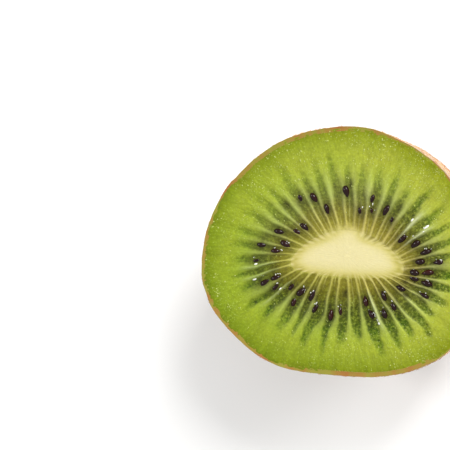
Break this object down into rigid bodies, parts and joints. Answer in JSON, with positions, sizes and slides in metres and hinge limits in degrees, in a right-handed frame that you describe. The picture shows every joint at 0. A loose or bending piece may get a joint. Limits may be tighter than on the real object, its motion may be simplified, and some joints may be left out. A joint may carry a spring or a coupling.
{
  "type": "kiwi fruit half",
  "caption": "Half of a kiwi fruit cut across, with brown skin, green flesh, dark seeds and a pale core, resting on its stem end with the cut face up.",
  "frame": {"origin": "on the plane that the half rests on, under the middle of its bounding box", "axes": "+Z up, out of the cut face; +X along the cut face's long way, which is to the right in the picture; +Y up in the picture"},
  "size_m": [0.0562, 0.0482, 0.0344],
  "materials": {
    "flesh": "wet cut flesh, slightly translucent, yellow-green with darker green seed chambers",
    "core": "smooth moist cream, slightly translucent",
    "skin": "thin dull brown skin with short fine hairs",
    "seed": "glossy brown-black"
  },
  "bodies": {
    "root": {"flesh": "flesh", "core": "core"}
  },
  "joints": []
}
